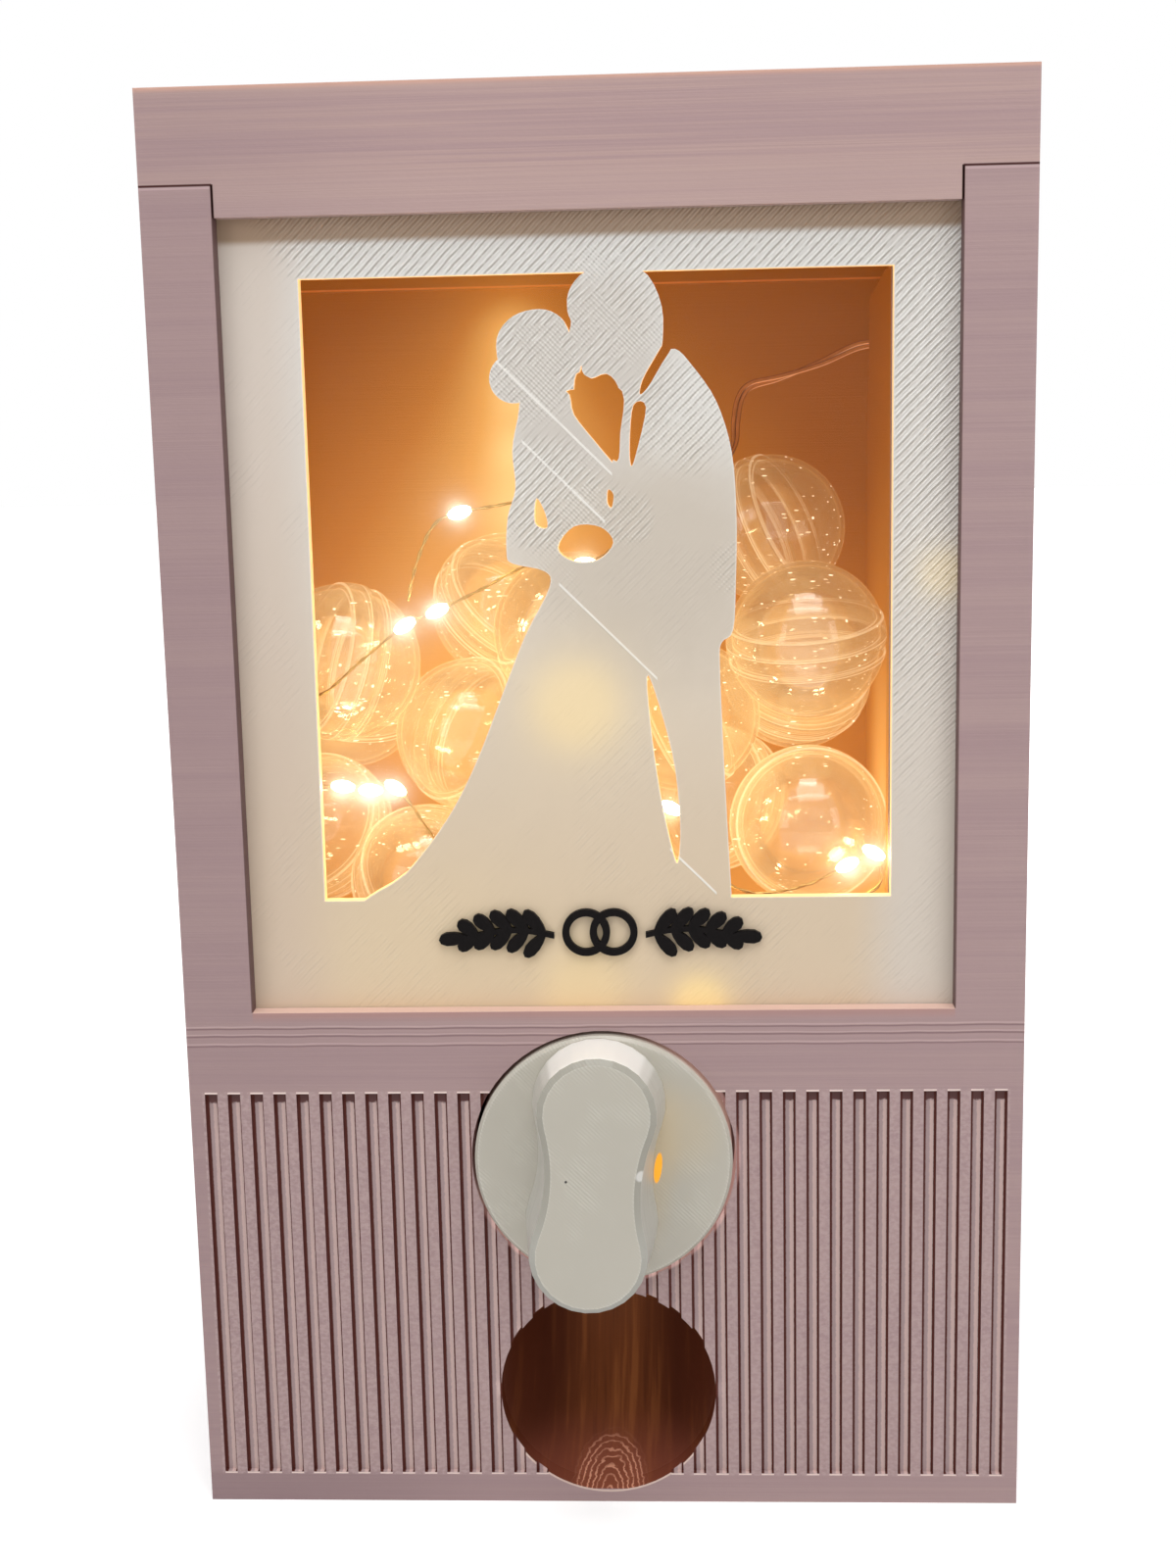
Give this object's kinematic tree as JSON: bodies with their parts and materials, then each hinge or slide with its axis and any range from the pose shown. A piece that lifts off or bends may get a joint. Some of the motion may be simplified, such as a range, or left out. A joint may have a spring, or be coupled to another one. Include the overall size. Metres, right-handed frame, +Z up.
{
  "type": "capsule vending machine",
  "caption": "Table-top capsule dispenser with a lit hopper behind a cut-out wedding-couple panel, a lift-off lid and a turning dial that drops a ball capsule to a round outlet.",
  "frame": {"origin": "middle of the footprint, on the surface that it stands on", "axes": "+Z up, -Y towards the front with the window and the dial, +X to the right as seen from the front"},
  "size_m": [0.165, 0.1015, 0.28],
  "materials": {
    "pink_print": "dusty pink printed plastic with fine layer lines",
    "white_print": "white printed plastic with diagonal infill lines",
    "black_print": "black printed plastic",
    "clear_sheet": "clear acrylic sheet",
    "clear_capsule": "clear moulded polystyrene",
    "clear_lead": "clear sleeve over fine copper",
    "copper_wire": "varnished copper wire",
    "bead_glow": "clear resin drop, warm white when lit",
    "screw_steel": "zinc plated",
    "contact_steel": "nickel plated",
    "case_plastic": "white moulded plastic",
    "cell_sleeve": "plain dark sleeve"
  },
  "bodies": {
    "housing": {"body": "pink_print", "front_panel": "white_print", "panel_ornament": "black_print", "window_pane": "clear_sheet", "drum_sleeve": "pink_print", "chute": "pink_print", "hopper_funnel": "pink_print", "rear_cover": "pink_print", "rear_cover_screws": "screw_steel", "battery_case": "case_plastic", "battery_cells": "cell_sleeve", "battery_contacts": "contact_steel", "light_lead": "clear_lead", "light_splice": "clear_lead", "light_wire": "copper_wire", "light_beads": "bead_glow", "capsule_1_cup": "clear_capsule", "capsule_1_cap": "clear_capsule", "capsule_2_cup": "clear_capsule", "capsule_2_cap": "clear_capsule", "capsule_3_cup": "clear_capsule", "capsule_3_cap": "clear_capsule", "capsule_4_cup": "clear_capsule", "capsule_4_cap": "clear_capsule", "capsule_5_cup": "clear_capsule", "capsule_5_cap": "clear_capsule", "capsule_6_cup": "clear_capsule", "capsule_6_cap": "clear_capsule", "capsule_7_cup": "clear_capsule", "capsule_7_cap": "clear_capsule", "capsule_8_cup": "clear_capsule", "capsule_8_cap": "clear_capsule", "capsule_9_cup": "clear_capsule", "capsule_9_cap": "clear_capsule", "capsule_10_cup": "clear_capsule", "capsule_10_cap": "clear_capsule", "capsule_11_cup": "clear_capsule", "capsule_11_cap": "clear_capsule", "capsule_12_cup": "clear_capsule", "capsule_12_cap": "clear_capsule", "capsule_13_cup": "clear_capsule", "capsule_13_cap": "clear_capsule", "capsule_14_cup": "clear_capsule", "capsule_14_cap": "clear_capsule", "capsule_15_cup": "clear_capsule", "capsule_15_cap": "clear_capsule"},
    "dial": {"dial_drum": "white_print", "knob": "white_print", "drum_washer": "screw_steel", "drum_screw": "screw_steel"},
    "lid": {"lid": "pink_print"},
    "switch": {"battery_switch": "black_print"},
    "battery_door": {"battery_cover": "case_plastic"}
  },
  "joints": [
    {"name": "dial_turn", "type": "hinge", "parent": "housing", "child": "dial", "pos_m": [0, 0, 0.0739], "axis": [0, 1, 0], "continuous": true},
    {"name": "lid_lift", "type": "slide", "parent": "housing", "child": "lid", "axis": [0, 0, 1], "range_m": [0, 0.03]},
    {"name": "switch_slide", "type": "slide", "parent": "housing", "child": "switch", "axis": [0, -1, 0], "range_m": [0, 0.003]},
    {"name": "battery_door_slide", "type": "slide", "parent": "housing", "child": "battery_door", "axis": [0, 0, 1], "range_m": [0, 0.03]}
  ]
}
